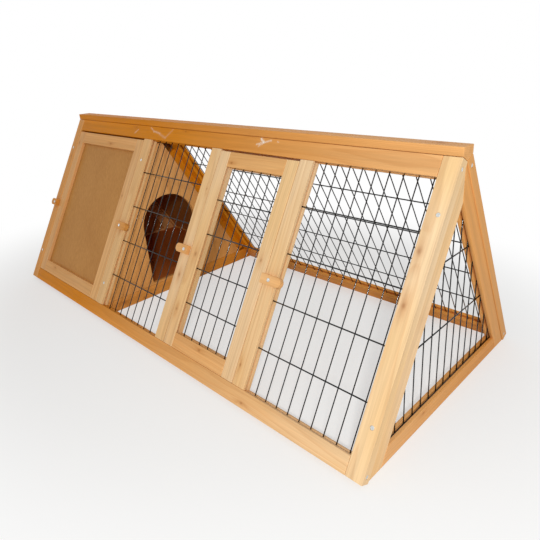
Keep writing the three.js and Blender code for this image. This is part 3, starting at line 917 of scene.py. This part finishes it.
# %% Laying a mesh in an opening
WIRE_PITCH = 25.4 * MM
CROSS_PITCH = 85.5 * MM
DOOR_CROSS_PITCH = 72 * MM
WIRE_BITE = 5 * MM  # how far a wire reaches into its groove
LEAST_GAP = 4 * MM  # between the last wire and the timber


def columns(x, y, z):
    """Rows of (x, y, z), with a single number repeated down its column."""
    return np.stack(np.broadcast_arrays(x, y, z), -1)


def places_from(first, pitch, far):
    """Places a pitch apart from the first one on, short of the far one."""
    return np.arange(first, far - LEAST_GAP, pitch)


def layers(middle):
    """Depths of the uprights and of the cross wires, for a mesh with that middle."""
    return middle - (MESH_THICK - WIRE) / 2, middle + (MESH_THICK - CROSS_WIRE) / 2


def laid_mesh(node, bay, first, cross_first, cross_pitch, middle, side="front"):
    """A mesh in a leaning panel's opening (x from, x to, s from, s to)."""
    left, right, low, high = bay
    across = places_from(first, WIRE_PITCH, right)
    up = places_from(cross_first, cross_pitch, high)
    deep, outer = layers(middle)
    foot = stand(columns(across, low - WIRE_BITE, deep), side)
    head = stand(columns(across, high + WIRE_BITE, deep), side)
    start = stand(columns(left - WIRE_BITE, up, outer), side)
    end = stand(columns(right + WIRE_BITE, up, outer), side)
    mesh_piece(node, rods(foot, head, WIRE), rods(start, end, CROSS_WIRE))
    print(node, "has", len(across), "uprights and", len(up), "cross wires")


def opening_between(left, right, low, high):
    """The clear space between four timbers, as (x from, x to, s from, s to)."""
    return (
        flat_box(left)[1][0],
        flat_box(right)[0][0],
        flat_box(low)[1][1],
        flat_box(high)[0][1],
    )


# %% [markdown]
# ## Meshes in the long sides
# The openings between the posts are measured from the posts themselves, laid flat.
# The back has one long mesh behind the run, ending level with the front's.

# %% Three frame meshes and the door's
FRAME_MIDDLE = -TIMBER / 2
DOOR_MIDDLE = -5 * MM
CROSS_START = 77 * MM
DOOR_CROSS_START = 63 * MM
LEFT_FIRST, RIGHT_FIRST, DOOR_FIRST = 24.5 * MM, 21.6 * MM, 20.5 * MM
BACK_LAST = 18.4 * MM  # from the back's last wire to the right stile
FRONT_RAILS = ("front_bottom_rail", "front_top_rail")
LEFT_BAY = opening_between("front_nest_post", "front_door_post_left", *FRONT_RAILS)
RIGHT_BAY = opening_between("front_door_post_right", "front_right_stile", *FRONT_RAILS)
DOOR_BAY = opening_between(
    "run_door_left_stile", "run_door_right_stile", "run_door_bottom_rail", "run_door_top_rail"
)
BACK_BAY = (POST_HIGH[0], *RIGHT_BAY[1:])
BACK_FIRST = (BACK_BAY[1] - BACK_LAST - BACK_BAY[0] - LEAST_GAP) % WIRE_PITCH + LEAST_GAP
for node, bay, first, side in (
    ("front_left_mesh", LEFT_BAY, LEFT_FIRST, "front"),
    ("front_right_mesh", RIGHT_BAY, RIGHT_FIRST, "front"),
    ("back_mesh", BACK_BAY, BACK_FIRST, "back"),
):
    lowest = bay[2] + CROSS_START
    laid_mesh(node, bay, bay[0] + first, lowest, CROSS_PITCH, FRAME_MIDDLE, side)
lowest = DOOR_BAY[2] + DOOR_CROSS_START
laid_mesh(
    "run_door_mesh", DOOR_BAY, DOOR_BAY[0] + DOOR_FIRST, lowest, DOOR_CROSS_PITCH, DOOR_MIDDLE
)

# %% [markdown]
# ## Mesh in the right end
# The end mesh is cut to a triangle, so each upright stops in the groove of a leg and
# is shorter the further it stands from the middle.

# %% The triangular mesh
LEG_GAP = 0.3 * MM  # between a leg and the panel it stands behind
LEG_DEPTH = TIMBER + LEG_GAP + STILE - WIRE_BITE
RAIL_GRIP = STILE - WIRE_BITE
END_CROSS_LOW = 150 * MM
END_CROSS_PITCH = 116 * MM


def height_under(depth, y):
    """Height of the plane at that depth below a panel's face, above a place y.

    The foot's height, plus the way in from the foot times the tangent of the lean,
    less the depth times its cosine.
    """
    across = HALF_BASE - np.abs(y) - depth * math.sin(LEAN)
    return OUTER_FOOT + across * math.tan(LEAN) - depth * math.cos(LEAN)


def half_width(depth, z):
    """The same plane, solved for y at a height z."""
    rise = z - OUTER_FOOT + depth * math.cos(LEAN)
    return HALF_BASE - depth * math.sin(LEAN) - rise / math.tan(LEAN)


def end_mesh():
    """Uprights from the rail up to the legs' plane, and cross wires from leg to leg."""
    low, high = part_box("right_end_mesh")
    deep, outer = layers((low.x + high.x) / 2)
    widest = half_width(LEG_DEPTH, RAIL_GRIP) - LEAST_GAP
    side = places_from(WIRE_PITCH, WIRE_PITCH, widest)
    y = np.concatenate([-side[::-1], [0.0], side])
    z = np.array([RAIL_GRIP + CROSS_WIRE, END_CROSS_LOW, END_CROSS_LOW + END_CROSS_PITCH])
    reach = half_width(LEG_DEPTH, z)
    foot = columns(deep, y, RAIL_GRIP)
    head = columns(deep, y, height_under(LEG_DEPTH, y))
    crossing = rods(columns(outer, -reach, z), columns(outer, reach, z), CROSS_WIRE)
    mesh_piece("right_end_mesh", rods(foot, head, WIRE), crossing)
    print("right_end_mesh has", len(y), "uprights and", len(z), "cross wires")


end_mesh()

# %% [markdown]
# ## Screws
# Countersunk and pan-head screws with a cross recess. The cross could be cut out by a
# boolean, but so small a dip shades better as a height: a head is a disc of rings, a
# shallow dome less a dip wherever a point is near the x or the y line.

# %% Screw heads
HEAD_RADIUS = 3.4 * MM
HEAD_RINGS = 14
HEAD_SIDES = 48
HEAD_CENTRE = 0.06  # the innermost ring, as a share of the radius
SLOT_HALF, SLOT_SOFT = 0.55 * MM, 0.4 * MM
SLOT_REACH, REACH_SOFT = 2.0 * MM, 0.5 * MM
SLOT_DEEP = 1.0 * MM


def smooth_step(value):
    """0 below 0, 1 above 1, and a soft S between: three squares less two cubes."""
    clipped = np.clip(value, 0, 1)
    return clipped * clipped * (3 - 2 * clipped)


def screw_head(dome, skirt, twist):
    """Vertices and faces of a head facing +Z, with its rim carried down by skirt.

    The height is the dome times 1 less the square of the share of the radius, less
    the depth of the slot where a point is near a line of the cross and in its reach.
    """
    share = np.concatenate([np.linspace(HEAD_CENTRE, 1, HEAD_RINGS), [1.0]])
    turn = np.linspace(0, 2 * np.pi, HEAD_SIDES, endpoint=False)
    radius = HEAD_RADIUS * share[:, None]
    x = radius * np.cos(turn)[None]
    y = radius * np.sin(turn)[None]
    u = x * math.cos(twist) + y * math.sin(twist)
    v = y * math.cos(twist) - x * math.sin(twist)
    near = np.minimum(np.abs(u), np.abs(v))
    in_slot = smooth_step((SLOT_HALF - near) / SLOT_SOFT + 0.5)
    in_reach = smooth_step((SLOT_REACH - np.hypot(x, y)) / REACH_SOFT + 0.5)
    height = dome * (1 - share[:, None] ** 2) - SLOT_DEEP * in_slot * in_reach
    height[-1] = -skirt
    rings = np.stack([x, y, height], -1).reshape(-1, 3)
    vertices = np.concatenate([rings, [[0, 0, dome - SLOT_DEEP], [0, 0, -skirt]]])
    quads = ring_quads(len(share), HEAD_SIDES)[:, [0, 3, 2, 1]]  # turned to face up
    step = np.arange(HEAD_SIDES)
    following = (step + 1) % HEAD_SIDES
    last = (len(share) - 1) * HEAD_SIDES
    centre = np.stack([np.full(HEAD_SIDES, len(rings)), step, following], 1)
    under = np.stack([np.full(HEAD_SIDES, len(rings) + 1), last + following, last + step], 1)
    return vertices, quads.tolist() + centre.tolist() + under.tolist()


def place_head(name, place, axes, body, dome=0.5 * MM, skirt=0.3 * MM, nodes=()):
    """A head turned so that its +Z is the last of its axes, at a place on the timber."""
    vertices, faces = screw_head(dome, skirt, random.uniform(0, math.pi / 2))
    piece = new_object(name, new_mesh(name, vertices @ axes + place, faces, smooth=True))
    piece.data.materials.append(ZINC)
    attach(piece, body)
    if nodes:
        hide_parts(*nodes)


def square_axes(side):
    """Right-handed x, s and h of a panel, for a head that faces out of it."""
    axes, _ = panel_axes(side)
    return axes if side == "front" else np.array([-axes[0], axes[1], axes[2]])


print("heads", round(2 * HEAD_RADIUS / MM, 1), "mm across")

# %% [markdown]
# ## Putting the screws in
# Six screws show in the front and have a node of their own, whose middle is where the
# head goes, just under the timber's face. The heads in the pockets have none. A
# turn-button's screw is a pan head that stands a little proud of the button.

# %% Screws in the front, in the pockets and in the buttons
FACE_SUNK = 0.35 * MM
POCKET_SUNK = 0.7 * MM  # how far a pocketed head's rim lies below the timber's face
BUTTON_DOME = 0.9 * MM
BUTTON_SKIRT = 1.2 * MM
BUTTON_RIM = 1.0 * MM  # from a button screw's top down to its head's rim


def over_middle(low, high, h):
    """The middle of a flat box, seen square to the front, at a height h, stood up."""
    return stand([[(low[0] + high[0]) / 2, (low[1] + high[1]) / 2, h]])[0]


FACE_SCREWS = [
    f"{place}_{height}_frame_screw"
    for place in ("left", "nest", "right")
    for height in ("lower", "upper")
]
for node in FACE_SCREWS:
    middle = over_middle(*flat_box(node), -FACE_SUNK)
    place_head(node + "_head", middle, square_axes("front"), "run", nodes=(node,))
print(len(FACE_SCREWS), "screws in the front")

HEAD_AXES = {-1: np.array([Z, Y, -X]), 0: square_axes("back"), 1: np.array([Y, Z, X])}
count = 0
for node, groups in POCKETS.items():
    for places, out in groups:
        for place in places:
            count += 1
            axes = HEAD_AXES[round(out[0])]
            place_head(f"{node}_screw_head_{count}", place - POCKET_SUNK * out, axes, "run")
print(count, "screws in pockets")

BUTTONS = ("nest_button_left", "nest_button_right", "run_button_left", "run_button_right")
for button in BUTTONS:
    low, high = flat_box(button + "_screw")
    place_head(
        button + "_screw_head",
        over_middle(low, high, high[2] - BUTTON_RIM),
        square_axes("front"),
        BODY_OF[button + "_screw"],
        dome=BUTTON_DOME,
        skirt=BUTTON_SKIRT,
        nodes=(button + "_screw",),
    )
print(len(BUTTONS), "button screws")

# %% [markdown]
# ## Camera
# The camera was worked out from straight edges and corners of the photograph, with
# the run's real sizes held fixed. The picture is 540 pixels square, so the lens in
# millimetres is the focal length in pixels times 36 over 540, and a small shift
# stands for the way the picture was cropped.

# %% Camera
CAMERA_PLACE = (0.88443, -0.65744, 0.56304)
CAMERA_TURN = (66.8437, 2.9420, 42.6172)  # degrees about X, Y and Z
CAMERA_EULER = Euler([math.radians(angle) for angle in CAMERA_TURN], "XYZ")
PICTURE = 540
SENSOR = 36.0
FOCAL_PIXELS = 486.66
PICTURE_CENTRE = (300.0, 261.97)  # where the lens axis meets the picture, in pixels
NEAREST, FARTHEST = 0.01, 50  # metres that the camera sees between

camera = new_object("photo_camera", bpy.data.cameras.new("photo_camera"))
camera.data.sensor_width = SENSOR
camera.data.lens = FOCAL_PIXELS * SENSOR / PICTURE
camera.data.shift_x = (PICTURE / 2 - PICTURE_CENTRE[0]) / PICTURE
camera.data.shift_y = (PICTURE_CENTRE[1] - PICTURE / 2) / PICTURE
camera.data.clip_start = NEAREST
camera.data.clip_end = FARTHEST
camera.location = CAMERA_PLACE
camera.rotation_euler = CAMERA_EULER
bpy.context.scene.camera = camera
bpy.context.scene.view_settings.view_transform = "Standard"
print("lens", round(camera.data.lens, 2), "mm")

# %% [markdown]
# ## Floor and light
# A plain pale floor takes the shadow near the run and turns to plain white further
# off. One lamp stands just behind and above the camera, as a flash does, so it shines
# through the mesh and into the nest, and a bright room fills the rest. White is shown
# only to the camera and to reflections, so it adds no light to the run.

# %% Floor
WHITE = (1, 1, 1, 1)
FLOOR_HALF = 12.0
FLOOR_DROP = 0.4 * MM
FLOOR_WHITE = 0.5  # share of white that the floor shows right under the run
FADE_FROM, FADE_TO = 0.42, 0.86  # metres from the run's middle
FADE_OVAL = (0.72, 1, 0)  # the fade is longer along the run


def seen_directly(tree):
    """1 for rays from the camera and off or through shiny things, otherwise 0."""
    rays = add(tree, "LightPath").outputs
    glossy, through = rays["Is Glossy Ray"], rays["Is Transmission Ray"]
    shiny = add(tree, "Math", (glossy, through), operation="MAXIMUM")
    return add(tree, "Math", (rays["Is Camera Ray"], shiny), operation="MAXIMUM")


def make_floor():
    """Pale and matt; its emission grows to plain white with distance, for seen rays only."""
    material, tree = new_material("plain_pale_floor")
    pale = {"Base Color": linear("#f0f0ee"), "Roughness": 0.9, "Specular IOR Level": 0.1}
    place = add(tree, "TexCoord").outputs["Object"]
    oval = add(tree, "VectorMath", (place, FADE_OVAL), operation="MULTIPLY")
    distance = add(tree, "VectorMath", (oval,), operation="LENGTH")
    ends = (distance, FADE_FROM, FADE_TO, FLOOR_WHITE, 1.0)
    fade = add(tree, "MapRange", ends, interpolation_type="SMOOTHSTEP")
    share = add(tree, "Math", (fade, seen_directly(tree)), operation="MULTIPLY")
    white = add(tree, "Emission", {"Color": WHITE, "Strength": 1.0})
    mixed = add(tree, "MixShader", (share, add(tree, "BsdfPrincipled", pale), white))
    add(tree, "OutputMaterial", {"Surface": mixed})
    square = ((-1, -1), (1, -1), (1, 1), (-1, 1))
    corners = [(x * FLOOR_HALF, y * FLOOR_HALF, -FLOOR_DROP) for x, y in square]
    floor = new_object("studio_floor", new_mesh("studio_floor", corners, [(0, 1, 2, 3)]))
    floor.data.materials.append(material)
    floor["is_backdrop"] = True


make_floor()
print("floor", 2 * FLOOR_HALF, "m wide")

# %% Room and lamp
ROOM_LIGHT = 0.52
LAMP_POWER = 10.5
LAMP_SIZE = 0.12
LAMP_FROM_CAMERA = (0, 0.06, 0.55)  # metres right of it, above it and behind it


def make_room():
    """White to the camera and to reflections, and a soft even light to everything else."""
    world = bpy.data.worlds.new("soft_room")
    bpy.context.scene.world = world
    world.use_nodes = True
    tree = world.node_tree
    tree.nodes.clear()
    level = add(tree, "MapRange", {0: seen_directly(tree), 3: ROOM_LIGHT, 4: 1.0})
    sky = add(tree, "Background", {"Color": WHITE, "Strength": level})
    add(tree, "OutputWorld", {"Surface": sky})


def soft_lamp(name, place, size, power):
    """A square area lamp turned the way the camera looks."""
    light = bpy.data.lights.new(name, "AREA")
    light.shape = "SQUARE"
    light.size = size
    light.energy = power
    lamp = new_object(name, light)
    lamp.location = place
    lamp.rotation_euler = CAMERA_EULER


make_room()
lamp_place = Vector(CAMERA_PLACE) + CAMERA_EULER.to_matrix() @ Vector(LAMP_FROM_CAMERA)
soft_lamp("flash_lamp", lamp_place, LAMP_SIZE, LAMP_POWER)
print("lamp", [round(v, 2) for v in lamp_place])

# %% [markdown]
# ## Sizes
# The finish is meant to leave the run no larger; the box round everything that renders, less
# the floor, is printed in metres.

# %% Sizes and finish
low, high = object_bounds()
print("visual box", [round(v, 4) for v in high - low], "m")
